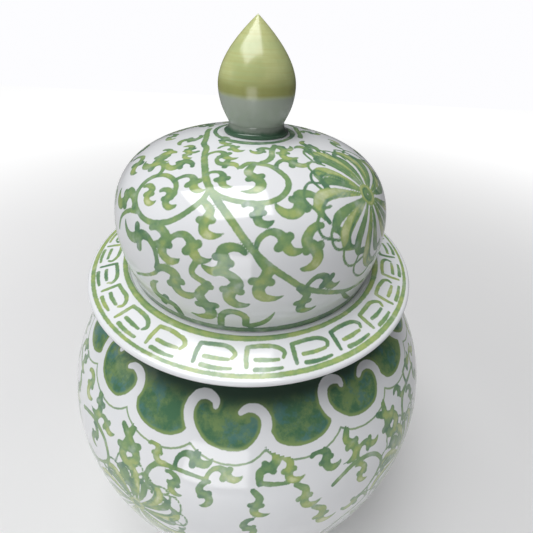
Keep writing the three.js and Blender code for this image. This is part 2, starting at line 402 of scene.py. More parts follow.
def lotus(skin, centre, size, petals=18, lean=0.0):
    """A lotus seen from above. Long petals start round a button and all bend the same way
    at their ends; pale washed ones with dark edges take turns with solid ones, and a fine
    line follows the tips at a small distance."""
    per_degree = math.pi * np.interp(centre[1], skin["rise"], skin["radius"]) / 180

    def polar(angle, share):
        angle, share = np.radians(angle), np.asarray(share) * size
        return np.column_stack([centre[0] + share * np.cos(angle) / per_degree,
                                centre[1] + share * np.sin(angle)])

    for petal in range(petals):
        pale = petal % 2 == 0
        angle = lean + petal * 360 / petals + 3 * math.sin(petal * 2.3)
        long = 0.97 + 0.08 * math.sin(petal * 1.7)
        share = np.array([0.2, 0.42, 0.66, 0.86, 0.97, 0.93]) * long
        if not pale:
            share *= 0.9
        bent = angle + np.array([0, 0, 2, 7, 16, 25]) * (1 if pale else 0.7)
        swell = size * (0.026 if pale else 0.02)
        width = np.array([2, 4.2, 6.4, 7.4, 5.4, 2.4]) * swell
        brush(skin, polar(bent, share), width,
              [0.85, 0.95, 1, 0.8, 0.6] if pale else [0.5, 0.3, 0.25, 0.1])
        if pale:
            edge = polar(bent + 4.2, share * 0.96)
            brush(skin, edge[1:], [1.2, 1.7, 2.4], 0.1)
            brush(skin, polar(bent - 1.5, share * 0.8)[:4], [1.1, 1.4, 1], 0.35)
        else:
            brush(skin, polar(bent[-2:], share[-2:]), [3.2, 4.2], 0.0)
        brush(skin, polar(angle + np.array([-8, -5, 3, 12, 22]),
                          np.array([0.84, 1.02, 1.12, 1.12, 0.94]) * long * (
                              1 if pale else 0.97)), 1.5, 0.2)
    turn = np.linspace(0, 360, 17)
    brush(skin, polar(turn, 0.06 + 0 * turn), 3.4, 0.3)
    brush(skin, polar(turn, 0.135 + 0 * turn), 2.4, 1.0)
    brush(skin, polar(turn[:11] + 40, 0.095 + 0 * turn[:11]), 1.3, 0.05)


def lower_outline():
    """Outside of the bowl from foot to belly: the radius is the belly's less a share of
    the taper that grows as a power of the depth."""
    share = np.linspace(1, 0, 400)
    radius = foot_radius + (body_radius - foot_radius) * (1 - share ** TAPER_POWER)
    return np.column_stack([radius, belly_height - share * (belly_height - foot_top)])


def shoulder_outline():
    """Outside of the shoulder from belly to neck: a superellipse, on which the radius and
    the height, each as a share, have powers that add up to one."""
    def turn(share):
        return (1 - share ** SHOULDER_ROUNDNESS) ** (1 / SHOULDER_ROUNDNESS)
    at_neck = turn(neck_radius / body_radius)
    share = np.sin(np.arcsin(at_neck) * np.linspace(0, 1, 400))
    reach = (shoulder_top - belly_height) / at_neck
    return np.column_stack([body_radius * turn(share), belly_height + reach * share])


def paint_body(skin):
    """The jar's scrolling lotus: a repeat of a fifth of the circumference. Rises count up
    and down from the belly, so both sections of the body carry one drawing."""
    repeat = 72
    for count in range(5):
        turn = repeat * count

        def at(azimuth, rise, turn=turn):
            return (azimuth + turn, rise)

        lotus(skin, at(-24, 38), 36, 18, 8)
        lotus(skin, at(12, -66), 38, 18, 3)
        stems = (
            [at(-24, 2), at(-20, -16), at(-8, -30), at(4, -28), at(12, -14), at(13, 2),
             at(8, 16), at(-1, 18)],
            [at(48, 4), at(42, -16), at(33, -24), at(24, -14), at(21, 4), at(25, 20),
             at(33, 30)],
            [at(12, -104), at(4, -122), at(-10, -128), at(-22, -118), at(-28, -98),
             at(-25, -78), at(-15, -72)],
            [at(12, -104), at(22, -124), at(34, -126), at(42, -112), at(41, -90),
             at(36, -76)],
            [at(-20.5, 64), at(-21.5, 74), at(-20, 83), at(-17, 86.5), at(-12, 86.5),
             at(-6.5, 85)],
            [at(5.5, 85), at(8, 83.5), at(12, 82.5)],
            [at(23, 70), at(26, 74), at(30, 77), at(35, 74), at(37.5, 67), at(38, 58),
             at(34, 46), at(30, 42)],
        )
        for stem in stems:
            brush(skin, stem, [3.0, 3.4, 3.0, 2.2], 0.45)
        leaves = (
            ("drooping", (-28, 99), (-29, 73), -1), ("hooked", (-22.5, 95), (-17, 89), 1),
            ("arched", (-14.3, 87), (-5.5, 98.5), 1), ("arched", (-6.6, 85), (1.8, 89.5), 1),
            ("hooked", (-16.5, 83), (-12, 70), 1), ("drooping", (5.5, 84), (7, 106), 1),
            ("drooping", (11, 100), (16.5, 85.5), 1), ("hooked", (18.5, 95), (26, 85.5), 1),
            ("drooping", (30, 103), (26.5, 81), -1), ("arched", (31, 78), (38.7, 83.5), 1),
            ("drooping", (40.5, 95), (48, 76), 1), ("hooked", (30, 74), (33, 58), 1),
            ("hooked", (-6, 84), (-8, 66), -1), ("drooping", (4, 80), (8, 62), 1),
            ("drooping", (14, 80), (20, 64), 1), ("arched", (-1, 18), (6, 32), 1),
            ("hooked", (8, 16), (17, 22), 1), ("drooping", (13, 0), (20, -14), 1),
            ("hooked", (12, -14), (3, -6), 1), ("drooping", (-8, -30), (-16, -46), -1),
            ("hooked", (-20, -16), (-30, -24), 1), ("arched", (33, 30), (25, 42), -1),
            ("hooked", (24, -14), (32, -4), 1), ("drooping", (33, -24), (39, -42), 1),
            ("arched", (4, -122), (-3, -104), 1), ("hooked", (-22, -118), (-13, -104), 1),
            ("drooping", (-28, -98), (-36, -82), 1), ("hooked", (-15, -72), (-8, -86), -1),
            ("arched", (-25, -78), (-21, -58), 1), ("hooked", (34, -126), (29, -108), 1),
            ("drooping", (41, -90), (48, -74), 1), ("hooked", (36, -76), (29, -88), 1),
            ("drooping", (18, 58), (24, 40), 1), ("hooked", (4, 58), (2, 40), -1),
            ("drooping", (43, 66), (46, 46), -1), ("hooked", (-8, 12), (-11, -6), -1),
            ("drooping", (38, 16), (43, -2), 1), ("hooked", (30, 20), (35, 4), -1),
            ("hooked", (-2, -48), (-9, -60), 1), ("drooping", (27, -44), (33, -58), 1),
            ("hooked", (48, -44), (43, -60), -1),
        )
        for index, (kind, root, tip, side) in enumerate(leaves):
            scroll_leaf(skin, kind, at(*root), at(*tip), side,
                        0.3 * math.sin(index * 2.4 + count))
    for rise, width in ((-139, 1.6), (-143, 1.0), (-189, 1.0), (-194, 2.6), (-203, 4.0)):
        hoop(skin, rise, width, 0.4)
    panels = 40
    for panel in range(panels):
        middle = panel * 360 / panels
        half = 180 / panels
        arch = [(middle - half * 0.9, -187), (middle - half * 0.86, -162),
                (middle - half * 0.5, -150), (middle, -145.5), (middle + half * 0.5, -150),
                (middle + half * 0.86, -162), (middle + half * 0.9, -187)]
        brush(skin, arch, 1.2, 0.3)
        brush(skin, [(middle, -180), (middle, -166), (middle, -156)], [3.0, 5.4, 2.0], 0.7)


def green_pigment_group():
    """Shader group for the brushwork. It takes the two distances and the tone, roughens
    their edges with noise, and puts out how much paint covers the body and its colour."""
    group = bpy.data.node_groups.new("green pigment", "ShaderNodeTree")
    for label in ("Line", "Tone", "Ground"):
        group.interface.new_socket(label, in_out="INPUT", socket_type="NodeSocketFloat")
    group.interface.new_socket("Colour", in_out="OUTPUT", socket_type="NodeSocketColor")
    group.interface.new_socket("Cover", in_out="OUTPUT", socket_type="NodeSocketFloat")
    given = group.nodes.new("NodeGroupInput")
    made = group.nodes.new("NodeGroupOutput")
    tremble = arithmetic(group, "MULTIPLY", arithmetic(
        group, "SUBTRACT", speckle(group, 420, 3), 0.5), 0.8)
    line = arithmetic(group, "ADD", given.outputs["Line"], tremble)
    cover = ramp_between(group, line, 0.4, -0.25)
    from_hem = arithmetic(group, "ABSOLUTE", arithmetic(
        group, "SUBTRACT", arithmetic(group, "ADD", given.outputs["Ground"], tremble),
        HEM_DROP), 0)
    hem = ramp_between(group, from_hem, HEM_HALF + 0.3, HEM_HALF - 0.3, 0, 0.85)
    centre = ramp_between(group, line, -0.2, -1.8)
    blot = arithmetic(group, "SUBTRACT", speckle(group, 110, 3, 0.6), 0.5)
    shade = arithmetic(group, "ADD", arithmetic(
        group, "MULTIPLY", centre, 0.14), given.outputs["Tone"])
    shade = arithmetic(group, "ADD", shade, arithmetic(group, "MULTIPLY", blot, 1.3))
    stroke = colour_mix(group, ramp_between(group, shade, 0.0, 0.55), STROKE_DEEP,
                        STROKE_MID)
    stroke = colour_mix(group, ramp_between(group, shade, 0.45, 0.95), stroke,
                        STROKE_YELLOW)
    stroke = colour_mix(group, ramp_between(group, shade, 0.9, 1.3), stroke, STROKE_PALE)
    thin = ramp_between(group, speckle(group, 130, 3), 0.5, 0.8, 0.97, 0.7)
    ground = arithmetic(group, "ADD", given.outputs["Ground"], tremble)
    fill = ramp_between(group, ground, 0.35, -0.35)
    rim = ramp_between(group, ground, -0.8, -3.0)
    mottle = ramp_between(group, speckle(group, 62, 5, 0.7), 0.4, 0.64)
    cloud = ramp_between(group, speckle(group, 45, 4, 0.7), 0.5, 0.62)
    wash = colour_mix(group, mottle, GROUND_DEEP, GROUND_YELLOW)
    wash = colour_mix(group, arithmetic(group, "MULTIPLY", cloud, 0.7), wash,
                      GROUND_BLUE)
    wash = colour_mix(group, rim, GROUND_RIM, wash)
    # painted shade: where the tone on the ground is below zero, the wash darkens towards the shade
    # under the brim
    wash = colour_mix(group, ramp_between(group, given.outputs["Tone"], 0, -1), wash,
                      GROUND_BRIM_SHADE)
    group.links.new(colour_mix(group, fill, stroke, wash), made.inputs["Colour"])
    painted = arithmetic(group, "MAXIMUM", arithmetic(group, "MULTIPLY", cover, thin), hem)
    group.links.new(arithmetic(group, "MAXIMUM", painted, arithmetic(
        group, "MULTIPLY", fill, 0.97)), made.inputs["Cover"])
    return group


HEM_DROP = 4.9         # a fine line that runs outside the white border of the collar
HEM_HALF = 0.65
STROKE_DEEP = (0.08, 0.19, 0.1)
STROKE_MID = (0.18, 0.31, 0.125)
STROKE_YELLOW = (0.34, 0.43, 0.14)
STROKE_PALE = (0.55, 0.6, 0.31)
GROUND_DEEP = (0.05, 0.15, 0.07)
GROUND_YELLOW = (0.16, 0.26, 0.09)
GROUND_BLUE = (0.06, 0.18, 0.19)
GROUND_RIM = (0.2, 0.3, 0.1)
# painted shade: the near-black green of the wash in the shadow under the brim
GROUND_BRIM_SHADE = (0.02, 0.055, 0.03)
BISCUIT_WHITE = (0.8, 0.805, 0.83)
BISCUIT_SHADE = (0.74, 0.76, 0.78)


def gloss(nodes, shader, strength=0.25):
    """A thick clear glaze: hard gloss over a surface that ripples very slightly."""
    shader.inputs["Roughness"].default_value = 0.09
    shader.inputs["IOR"].default_value = 1.52
    ripple = nodes.nodes.new("ShaderNodeBump")
    ripple.inputs["Strength"].default_value = strength
    ripple.inputs["Distance"].default_value = 0.0012
    nodes.links.new(speckle(nodes, 38, 3, 0.45), ripple.inputs["Height"])
    nodes.links.new(ripple.outputs["Normal"], shader.inputs["Normal"])


def attribute_value(nodes, label):
    """A number that the painter left on the piece's own mesh."""
    read = nodes.nodes.new("ShaderNodeAttribute")
    read.attribute_name = label
    return read.outputs["Fac"]


green_pigment = green_pigment_group()
painted_glaze, nodes, shader = new_finish("green painting under clear glaze")
pigment = nodes.nodes.new("ShaderNodeGroup")
pigment.node_tree = green_pigment
for label, attribute in (("Line", "line"), ("Tone", "tone"), ("Ground", "ground")):
    nodes.links.new(attribute_value(nodes, attribute), pigment.inputs[label])
white = colour_mix(nodes, speckle(nodes, 25, 2), BISCUIT_WHITE, BISCUIT_SHADE)
nodes.links.new(colour_mix(nodes, pigment.outputs["Cover"], white,
                           pigment.outputs["Colour"]), shader.inputs["Base Color"])
gloss(nodes, shader)

LAPPETS = 9
FIRST_LAPPET = -2.5    # azimuth of the lappet nearest the front
EDGE_REST = 112.0
HEM_STAND_OFF = 3
HEM_LEAST = 1
BRIM_SHADE_FROM = 122       # painted shade under the brim darkens the wash from this rise up to the neck
BRIM_SHADE_OVER = 14
CLOUD_LAPPET = [
    (-4.5, 127.5), (-4.8, 131), (-7.5, 133.5), (-10.5, 131.5), (-12, 124.5), (-11.3, 117),
    (-9, 110), (-5.5, 103.8), (0, 100.8), (5, 102.3), (8.6, 109.5), (10.2, 117.5),
    (9.8, 123.5), (7.8, 127.3), (5, 128), (3, 125.5)]
PLAIN_LAPPET = [(-9.6, 112), (-8, 106), (-4.5, 101.8), (0, 100.3), (4.5, 101.5),
                (8, 105.5), (10, 110.5)]


def paint_lappets(skin):
    """The green collar of the shoulder: solid wash above a scalloped edge. The white body
    is left bare as a border, and a border whose ends curl in like a cloud head takes turns
    with a plain one."""
    skin["white"] = np.full(skin["line"].shape, UNPAINTED)
    edge = np.full(len(skin["azimuth"]), EDGE_REST)
    half_pitch = 180 / LAPPETS
    for count in range(2 * LAPPETS):
        cloud = count % 2 == 0
        centre = FIRST_LAPPET + half_pitch * count
        border = np.array(CLOUD_LAPPET if cloud else PLAIN_LAPPET)
        scallop = border[6:11] if cloud else border
        across = (skin["azimuth"] - centre + 180) % 360 - 180
        inside = np.abs(across) <= half_pitch / 2
        edge = np.where(inside, np.interp(across, *flowing(scallop).T), edge)
        brush(skin, border + (centre, 0), [3.6, 6.2, 6.6, 5.8, 5.8, 6, 6.6, 5.8, 3.6]
              if cloud else 5.8, layer="white")
    over = edge[None, :] - skin["rise"][:, None]
    hem = np.maximum(HEM_STAND_OFF + skin["white"], HEM_LEAST)
    skin["ground"] = np.where(over > 0, hem, np.maximum(over, -skin["white"]))
    # painted shade under the brim: the ground darkens more the nearer it lies to the neck
    thick = np.clip((skin["rise"] - BRIM_SHADE_FROM) / BRIM_SHADE_OVER, 0, 1)[:, None]
    skin["tone"] = np.where(over < 0, -thick, skin["tone"])
    skin["line"] = np.where(np.minimum(over, skin["white"]) < 0, UNPAINTED, skin["line"])
    del skin["white"]


BODY_COLUMNS = 680
lower_outside = outline_steps(lower_outline(), 1.55)
shoulder_outside = outline_steps(shoulder_outline(), 1.25)
body_skin = new_skin(np.vstack([lower_outside, shoulder_outside[1:]]), BODY_COLUMNS,
                     belly_height)
paint_body(body_skin)
paint_lappets(body_skin)
belly_row = len(lower_outside) - 1
layers = ("line", "tone", "ground")

lower_floor = foot_top + BASE_THICKNESS
lower_inside = inner_outline(outline_steps(lower_outline(), 22), BODY_WALL)
lower_inside = lower_inside[lower_inside[:, 1] > lower_floor + BODY_WALL]
lower_inside[-1] = (body_radius - BODY_WALL, belly_height)
lower_body = turned_piece("painted_lower_body", [
    (0, foot_top), *lower_outside, *lower_inside[::-1],
    (lower_inside[0, 0] - BODY_WALL, lower_floor + BODY_WALL * 0.3),
    (lower_inside[0, 0] - 2 * BODY_WALL, lower_floor), (0, lower_floor)],
    BODY_COLUMNS, painted={k: body_skin[k][:belly_row + 1] for k in layers})
lower_body.data.materials.append(painted_glaze)
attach(lower_body, JAR)
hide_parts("lower_body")

NECK_WALL = 7
MOUTH_THICKNESS = 5
mouth_radius = neck_radius - NECK_WALL
shoulder_inside = inner_outline(outline_steps(shoulder_outline(), 12), BODY_WALL)
shoulder_inside = shoulder_inside[shoulder_inside[:, 0] > mouth_radius + 6]
shoulder_inside[0] = (body_radius - BODY_WALL, belly_height)
shoulder = turned_piece("painted_shoulder", [
    *shoulder_outside, (mouth_radius, shoulder_top),
    (mouth_radius, shoulder_top - MOUTH_THICKNESS), *shoulder_inside[::-1]],
    BODY_COLUMNS, painted={k: body_skin[k][belly_row:] for k in layers})
shoulder.data.materials.append(painted_glaze)
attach(shoulder, JAR)
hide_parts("shoulder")

# ---- Neck ------------------------------------------------------------------------------
# A short upright collar thrown on the shoulder's mouth, which the lid slips into. It has
# a plain white glaze all over.

NECK_EDGE = 1.5
neck_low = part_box("neck")[0].z / MM
neck_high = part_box("neck")[1].z / MM
neck_round = np.radians(np.linspace(0, 90, 5))
neck_outer_edge = np.column_stack([neck_radius - NECK_EDGE * (1 - np.cos(neck_round)),
                                   neck_high - NECK_EDGE * (1 - np.sin(neck_round))])
neck_inner_edge = np.column_stack([mouth_radius + NECK_EDGE * (1 - np.cos(neck_round)),
                                   neck_high - NECK_EDGE * (1 - np.sin(neck_round))])[::-1]
neck = turned_piece("white_neck", [
    (neck_radius, neck_low), (neck_radius, neck_low + 6), *neck_outer_edge,
    *neck_inner_edge, (mouth_radius, neck_low + 6), (mouth_radius, neck_low)], 256)


def white_glaze_finish(name, first, second):
    """Clear glaze on the bare white body, faintly uneven, with a few iron specks."""
    finish, nodes, shader = new_finish(name)
    white = colour_mix(nodes, ramp_between(nodes, speckle(nodes, 30, 3), 0.3, 0.7),
                       first, second)
    speck = ramp_between(nodes, speckle(nodes, 500, 1), 0.77, 0.8)
    nodes.links.new(colour_mix(nodes, speck, white, (0.36, 0.35, 0.28)),
                    shader.inputs["Base Color"])
    gloss(nodes, shader)
    return finish


white_glaze = white_glaze_finish("clear glaze on white", BISCUIT_WHITE, BISCUIT_SHADE)
neck.data.materials.append(white_glaze)
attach(neck, JAR)
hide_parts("neck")

# ---- Locating rim ----------------------------------------------------------------------
# A ring of bare clay under the lid. It drops inside the neck and stops the lid sliding off.

RIM_WALL = 5
rim_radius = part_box("locating_rim")[1].x / MM
rim_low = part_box("locating_rim")[0].z / MM
rim_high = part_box("locating_rim")[1].z / MM
locating_rim = turned_piece("bare_locating_rim", [
    (rim_radius - 1.2, rim_low), (rim_radius - 0.3, rim_low + 0.5),
    (rim_radius, rim_low + 1.4), (rim_radius, rim_high),
    (rim_radius - RIM_WALL, rim_high), (rim_radius - RIM_WALL, rim_low + 1.4),
    (rim_radius - RIM_WALL + 0.3, rim_low + 0.5), (rim_radius - RIM_WALL + 1.2, rim_low)],
    192)
locating_rim.data.materials.append(bare_clay)
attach(locating_rim, LID)
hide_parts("locating_rim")

# ---- Brim ------------------------------------------------------------------------------
# The wide flange of the lid, turned very nearly flat with a plain white rolled lip. A key
# fret is painted round it between two rings, in green that fades along each stroke.

SEAT_RADIUS = 96
CREST_RADIUS = 99.4
SEAT_DROP = 1.8
LIP_RADIUS = 2.2
FRET_UNITS = 26
FRET_START = 2.0
FRET_DRIFT_AT = [-180, -60, -40, -26, -12, 2, 180]
FRET_DRIFT = [0, -2.8, -2.7, -2.1, -0.6, 0, 0]
brim_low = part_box("brim")[0].z / MM
brim_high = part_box("brim")[1].z / MM
brim_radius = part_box("brim")[1].x / MM
brim_inner = rim_radius - RIM_WALL
lip_turn = np.radians(np.linspace(-90, 81, 12))
lip = np.column_stack([brim_radius - LIP_RADIUS * (1 - np.cos(lip_turn)),
                       brim_low + LIP_RADIUS * (1 + np.sin(lip_turn))])
slope = outline_steps([lip[-1], (CREST_RADIUS, brim_high)], 0.7)[1:]
cove_turn = np.radians(np.linspace(0, 90, 7))[1:]
cove = np.column_stack([CREST_RADIUS - (CREST_RADIUS - SEAT_RADIUS) * np.sin(cove_turn),
                        brim_high - SEAT_DROP * (1 - np.cos(cove_turn))])
brim_outside = np.vstack([lip, slope, cove])
BRIM_COLUMNS = 900
brim_skin = new_skin(brim_outside, BRIM_COLUMNS)
brim_skin["rise"] = brim_radius - brim_outside[:, 0]
brim_skin["rise"] += np.linspace(0, 0.001, len(brim_outside))


def paint_fret(skin):
    """Key fret, with distances counted in mm inwards from the lip. Each unit is an upright
    with a hooked bar at its inner end and two short bars in its lap. The spacing drifts a
    little to the left of the front, where the painter ran wide."""
    hoop(skin, 4.2, 2.5, 0.7)
    hoop(skin, 26.2, 3.8, 0.6)
    dice = np.random.default_rng(7)
    for unit in range(FRET_UNITS):
        start = (FRET_START + unit * 360 / FRET_UNITS + 180) % 360 - 180
        start += np.interp(start, FRET_DRIFT_AT, FRET_DRIFT)
        shift = dice.uniform(-0.4, 0.4, 8)
        tone = dice.uniform(0.1, 0.9, 4)
        brush(skin, [(start + shift[0], 8.8 + shift[5]), (start - 0.1, 14),
                     (start + 0.1, 20 + shift[1])], [2.2, 2.7, 2.6], tone[0])
        brush(skin, [(start + 0.2, 20.2 + shift[1]), (start + 4, 20.8 + shift[1]),
                     (start + 7.6, 20.4 + shift[2]), (start + 10, 18.8),
                     (start + 11.1, 16), (start + 10.4, 13.6 + shift[3])],
              [2.4, 2.7, 2.7, 2.6, 1.9], [tone[0], tone[1]])
        brush(skin, [(start + 2.5, 12.9 + shift[5]), (start + 5.5, 12.8),
                     (start + 9.1 + shift[4], 12.9 + shift[6])], [2.4, 2.5, 1.9], tone[2])
        brush(skin, [(start + 2.4, 7.8 + shift[4]), (start + 6, 7.5),
                     (start + 10 + 2 * shift[3], 7.8)], [2.6, 2.4, 1.7], tone[3])


paint_fret(brim_skin)
brim = turned_piece("fret_brim", [
    *brim_outside, (brim_inner, brim_high - SEAT_DROP), (brim_inner, brim_low)],
    BRIM_COLUMNS, painted={k: brim_skin[k] for k in layers})
brim.data.materials.append(painted_glaze)
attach(brim, LID)
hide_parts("brim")

# ---- Dome ------------------------------------------------------------------------------
# The hollow dome of the lid, thrown in one piece and luted to the brim. The same scrolling
# lotus is painted over it, in two turns of half the circumference each.

DOME_WALL = 5
DOME_FOOT_INSET = 3
DOME_WIDEST_SHARE = 0.311
CROWN_HANDLE = 50
CROWN_SWELL = 4.0
CROWN_SPREAD = 38
dome_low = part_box("dome")[0].z / MM
dome_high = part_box("dome")[1].z / MM
dome_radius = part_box("dome")[1].x / MM


def bezier(points, count):
    """A cubic Bezier curve through the first and last points."""
    a, b, c, d = np.asarray(points, float)
    t = np.linspace(0, 1, count)[:, None]
    s = 1 - t
    return a * s ** 3 + 3 * b * s ** 2 * t + 3 * c * s * t ** 2 + d * t ** 3


def dome_outline():
    """A foot that leans out a little, then one long shallow vault to the crown, which
    swells a little under the knob."""
    widest = dome_low + (dome_high - dome_low) * DOME_WIDEST_SHARE
    lean = (widest - dome_low) / 4
    foot = dome_radius - DOME_FOOT_INSET
    wall = bezier([(foot, dome_low), (foot, dome_low + lean),
                   (dome_radius, dome_low + 2 * lean), (dome_radius, widest)], 120)
    vault = bezier([(dome_radius, widest), (dome_radius, dome_high),
                    (CROWN_HANDLE, dome_high), (0, dome_high)], 300)
    vault[:, 1] += CROWN_SWELL * np.exp(-(vault[:, 0] / CROWN_SPREAD) ** 2)
    return np.vstack([wall, vault[1:]])


DOME_COLUMNS = 576
KNOB_RING_RADIUS = 25
KNOB_RING_WIDTH = 3.2
CROWN_RISE = 100       # rises past this are on the crown
FOOT_BAND_RISE = 2.8
FOOT_BAND_WIDTH = 5.2
dome_outside = outline_steps(dome_outline(), 1.0)
dome_skin = new_skin(dome_outside[:-1], DOME_COLUMNS)

DOME_STEMS = (
    ([(-100, 128), (-75, 128), (-60, 125.5), (-49, 121), (-40, 118.5), (-34.4, 113.5),
      (-30, 109), (-24, 102), (-19, 94), (-15.6, 89), (-11.3, 83), (-7, 77), (-2.7, 70),
      (1.5, 62), (6.3, 53.5), (14.6, 42), (19.4, 35.5), (24.8, 30.5), (30.7, 26),
      (36.7, 22), (42.6, 19.5), (50, 18)],
     [3.4, 3.6, 3.6, 3.8, 3.8, 3.8, 3.4, 3.2, 2.8]),
    ([(-14.7, 88), (-15.6, 81), (-19, 74), (-24, 67), (-30, 63), (-36, 62), (-42, 65),
      (-46, 71), (-46.3, 79), (-43.8, 85), (-39.5, 88), (-34.4, 88), (-30, 85),
      (-27.8, 80)], [2.8, 3, 3, 3, 2.6]),
    ([(-14, 87), (-8, 83.5), (0.3, 81.7), (7.4, 81.5), (13.6, 84), (18, 89), (19.8, 96),
      (17.2, 103), (12.7, 108), (5.6, 110), (0, 110), (-4, 106)], [2.4, 3, 3.4, 3]),
    ([(9, 111), (14, 113.5), (18, 118), (21, 124), (28, 129)], [3.4, 3.4]),
    ([(-52.3, 46), (-50.5, 55), (-46, 61), (-41, 63.5)], [2.2, 2.8]),
    ([(-42, 23.5), (-34.4, 29.5), (-30.2, 34), (-28, 38)], [1.8, 2.4]),
    ([(-13.3, 50.5), (-15, 46), (-14.8, 42), (-11.5, 39), (-9.3, 36.5)], [3.2, 3.4, 3.6]),
    ([(-7.5, 5), (-6.6, 16), (-4, 20.3), (-1, 19.8), (1.2, 16), (1.3, 8)], [4, 4.4, 4]),
    ([(3, 7), (7, 10.5), (9.3, 15), (10.7, 20)], [5, 3.6, 0.6]),
    ([(36, 22), (40, 14), (45, 6)], [2, 3, 2]),
)
DOME_LEAVES = (
    ("hooked", (-32, 59.5), (-19.5, 49), 1, 0), ("arched", (-24, 55), (-9, 52), 1, 0),
    ("drooping", (-10, 38), (-18.3, 12.5), -1, 0.1), ("hooked", (1, 57), (-12, 49.5), -1, 0),
    ("hooked", (-7.6, 45.5), (2.7, 27.5), 1, 0), ("arched", (-29, 38.5), (-47.3, 55), -1, -0.2),
    ("hooked", (-28.5, 37.5), (-14.2, 31.5), 1, 0.1), ("drooping", (-23, 5), (-29, 29.5), -1, -0.1),
    ("arched", (4.5, 60), (20, 57.5), 1, 0), ("drooping", (4.8, 55.5), (13.2, 32), 1, 0.1),
    ("hooked", (27, 67), (17.9, 47.5), -1, 0.1), ("arched", (20.5, 34.5), (33.7, 32), 1, -0.1),
    ("drooping", (18, 35.5), (25.7, 18.5), 1, -0.1), ("hooked", (-44.5, 77), (-34.4, 73), 1, 0.2),
    ("hooked", (-35, 79), (-24.8, 75), 1, 0.1), ("arched", (-32, 87), (-16, 86.5), 1, 0),
    ("arched", (-20, 96.5), (-5.3, 90.5), 1, -0.1), ("drooping", (-15, 80), (-5.7, 65.5), 1, 0.2),
    ("arched", (-31, 112), (-7.9, 115), 1, 0), ("hooked", (-41, 113), (-57, 110), 1, -0.1),
    ("hooked", (-50, 108), (-37.8, 106.5), 1, 0.3), ("hooked", (-31, 100), (-47, 96.5), -1, 0),
    ("hooked", (-64, 100), (-48, 97), 1, 0.1), ("arched", (-43, 86), (-61, 87), -1, 0),
    ("hooked", (-58, 86), (-52, 104), -1, 0.2), ("arched", (-74, 79), (-57, 79), 1, 0),
    ("hooked", (-44, 64), (-60, 66), -1, 0), ("drooping", (3, 109), (-2, 88), -1, 0.1),
    ("hooked", (0, 80), (10.5, 72.5), 1, -0.2), ("arched", (17, 105.5), (39.8, 106.5), 1, 0),
    ("hooked", (30, 79.5), (11.8, 81.5), -1, 0), ("hooked", (21, 124), (0, 125), -1, 0),
    ("hooked", (22, 124), (44, 126), 1, 0), ("drooping", (28, 128), (38, 113), 1, 0.2),
    ("arched", (-30, 122), (-5, 124), 1, 0.1), ("hooked", (-74, 124), (-62, 110), 1, -0.1),
    ("hooked", (-52, 133), (-24, 131), 1, -0.1), ("arched", (-20, 116), (-5, 104), -1, 0.1),
    ("drooping", (55, 108), (44, 122), 1, -0.2), ("drooping", (60, 112), (72, 124), -1, -0.2),
    ("hooked", (84, 100), (98, 108), 1, 0), ("drooping", (92, 60), (99, 38), 1, 0),
    ("arched", (84, 30), (98, 22), 1, 0), ("hooked", (90, 84), (104, 78), 1, 0),
    ("hooked", (-58, 40), (-72, 30), -1, 0), ("drooping", (-62, 55), (-72, 66), -1, 0),
)


def paint_dome(skin):
    """Half the dome at a time: a large lotus, the stem that runs down past it from the
    crown, and the leaves and spirals that fill the white between."""
    for turn in (0, 180):
        for stem, widths in DOME_STEMS:
            brush(skin, np.add(stem, (turn, 0)), widths, [0.4, 0.5, 0.35, 0.6, 0.4])
        for kind, root, tip, side, yellow in DOME_LEAVES:
            scroll_leaf(skin, kind, (root[0] + turn, root[1]), (tip[0] + turn, tip[1]), side,
                        yellow)
        lotus(skin, (56 + turn, 72.5), 40, 18, 0)
    hoop(skin, FOOT_BAND_RISE, FOOT_BAND_WIDTH, 0.25)
    crown = skin["rise"] > CROWN_RISE
    hoop(skin, np.interp(-KNOB_RING_RADIUS, -skin["radius"][crown], skin["rise"][crown]),
         KNOB_RING_WIDTH, 0.2)


paint_dome(dome_skin)
dome_inside = inner_outline(outline_steps(dome_outline(), 12), DOME_WALL)[::-1]
dome_inside[0] = (0, dome_high - DOME_WALL)
dome_inside[-1] = (dome_outside[0, 0] - DOME_WALL, dome_low)
dome = turned_piece("scrolled_dome", [*dome_inside, *dome_outside], DOME_COLUMNS,
                    painted={k: dome_skin[k] for k in layers},
                    first_painted=len(dome_inside) - 1)
dome.data.materials.append(painted_glaze)
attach(dome, LID)
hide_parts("dome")

# ---- Knob collar -----------------------------------------------------------------------
# A low bead of clay that the knob stands on, luted to the crown. Its foot flares out to a
# dark green line of pooled colour, made darker as painted shade where it meets the dome,
# and above it the white is painted grey-green as shade, all under the same clear glaze.

# painted shade and painted reflection: a grey-green white for the shaded underside of the knob and
# the collar, tinted by the green dome
WHITE_IN_PAINTED_SHADE = (0.36, 0.41, 0.35)
collar_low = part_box("knob_collar")[0].z / MM
collar_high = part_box("knob_collar")[1].z / MM
collar_radius = (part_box("knob_collar")[1].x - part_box("knob_collar")[0].x) / MM / 2
knob_middle = (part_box("knob")[0].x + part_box("knob")[1].x) / MM / 2
COLLAR_NECK = 17.5
COLLAR_SPREAD = 1.2
COLLAR_LIFT = 4.6
collar_foot = collar_low + 2.4
flare = bezier([(collar_radius + COLLAR_SPREAD, collar_foot + 1.2),
                (collar_radius - 0.8, collar_foot + 1.9),
                (COLLAR_NECK + 0.5, collar_high + 0.6),
                (COLLAR_NECK, collar_high + COLLAR_LIFT)], 20)
collar = turned_piece("flared_knob_collar", [
    (0, collar_low), (collar_radius - 1, collar_low),
    (collar_radius + COLLAR_SPREAD - 0.3, collar_foot),
    (collar_radius + COLLAR_SPREAD, collar_foot + 0.6), *flare,
    (COLLAR_NECK - 2, collar_high + COLLAR_LIFT + 0.2), (0, collar_high + 2)],
    160, knob_middle)
HEIGHT_WAVER = 3.0     # how far a dipped or brushed edge wanders up and down, in mm


